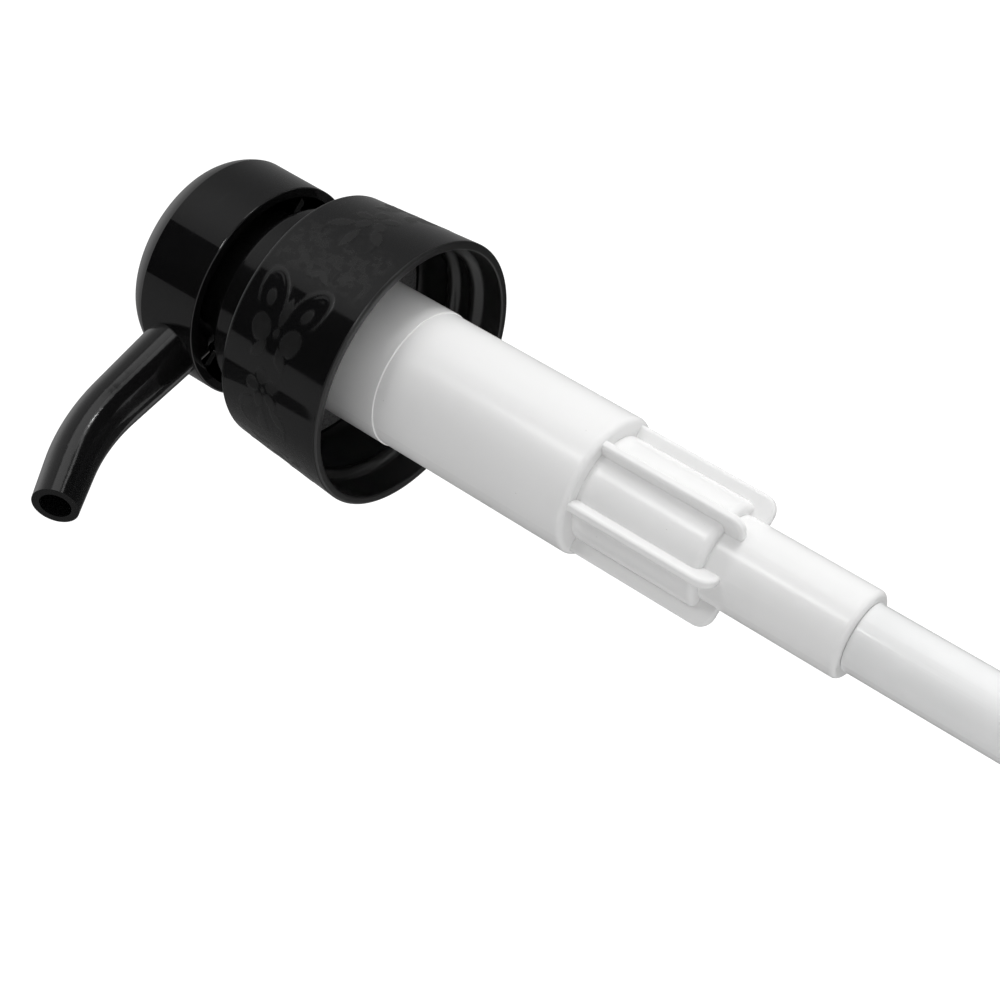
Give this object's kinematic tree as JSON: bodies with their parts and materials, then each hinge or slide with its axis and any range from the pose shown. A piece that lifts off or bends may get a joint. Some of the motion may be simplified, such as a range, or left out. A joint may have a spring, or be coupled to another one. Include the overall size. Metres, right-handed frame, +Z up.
{
  "type": "condiment pump dispenser",
  "caption": "Hand pump for sauce or syrup jugs: domed push head with a bent spout over a lock collar, screw closure, ribbed barrel with a sprung piston and foot valve, and a long dip tube.",
  "frame": {"origin": "on the pump's axis, in the plane where the gasket sits on the jug's neck", "axes": "+Z up along the pump's axis towards the head, +X the way the spout points"},
  "size_m": [0.0699, 0.042, 0.2823],
  "materials": {
    "black_head": "gloss black moulded polypropylene",
    "black_spout": "gloss black moulded polypropylene",
    "black_collar": "gloss black moulded polypropylene",
    "black_closure": "gloss black moulded polypropylene with a low raised pattern",
    "white_stem": "white moulded polypropylene",
    "white_barrel": "gloss white moulded polypropylene",
    "white_rod": "white moulded polypropylene",
    "white_cage": "white moulded polypropylene",
    "grey_gasket": "fine closed-cell foam",
    "soft_seal": "soft natural polyethylene",
    "soft_piston": "soft natural polyethylene",
    "spring_steel": "drawn stainless wire",
    "ball_steel": "polished stainless steel",
    "clear_tube": "extruded natural polyethylene, milky and slightly see-through"
  },
  "bodies": {
    "housing": {"barrel": "white_barrel", "gasket": "grey_gasket", "lock_collar": "black_collar", "stem_seal": "soft_seal", "ball_cage": "white_cage", "dip_tube": "clear_tube", "spring": "spring_steel"},
    "closure": {"closure": "black_closure"},
    "plunger": {"piston_rod": "white_rod"},
    "piston": {"piston": "soft_piston"},
    "head": {"head_shell": "black_head", "spout": "black_spout", "stem": "white_stem"},
    "inlet_ball": {"inlet_ball": "ball_steel"}
  },
  "joints": [
    {"name": "closure_spin", "type": "hinge", "parent": "housing", "child": "closure", "pos_m": [0, 0, 0], "axis": [0, 0, 1], "continuous": true},
    {"name": "plunger_slide", "type": "slide", "parent": "housing", "child": "plunger", "axis": [0, 0, 1], "range_m": [0, 0.025], "deforming": ["spring"]},
    {"name": "head_swivel", "type": "hinge", "parent": "plunger", "child": "head", "pos_m": [0, 0, 0], "axis": [0, 0, 1], "continuous": true},
    {"name": "piston_float", "type": "slide", "parent": "plunger", "child": "piston", "axis": [0, 0, 1], "range_m": [0, 0.0015]},
    {"name": "inlet_ball_lift", "type": "slide", "parent": "housing", "child": "inlet_ball", "axis": [0, 0, 1], "range_m": [0, 0.002]}
  ]
}
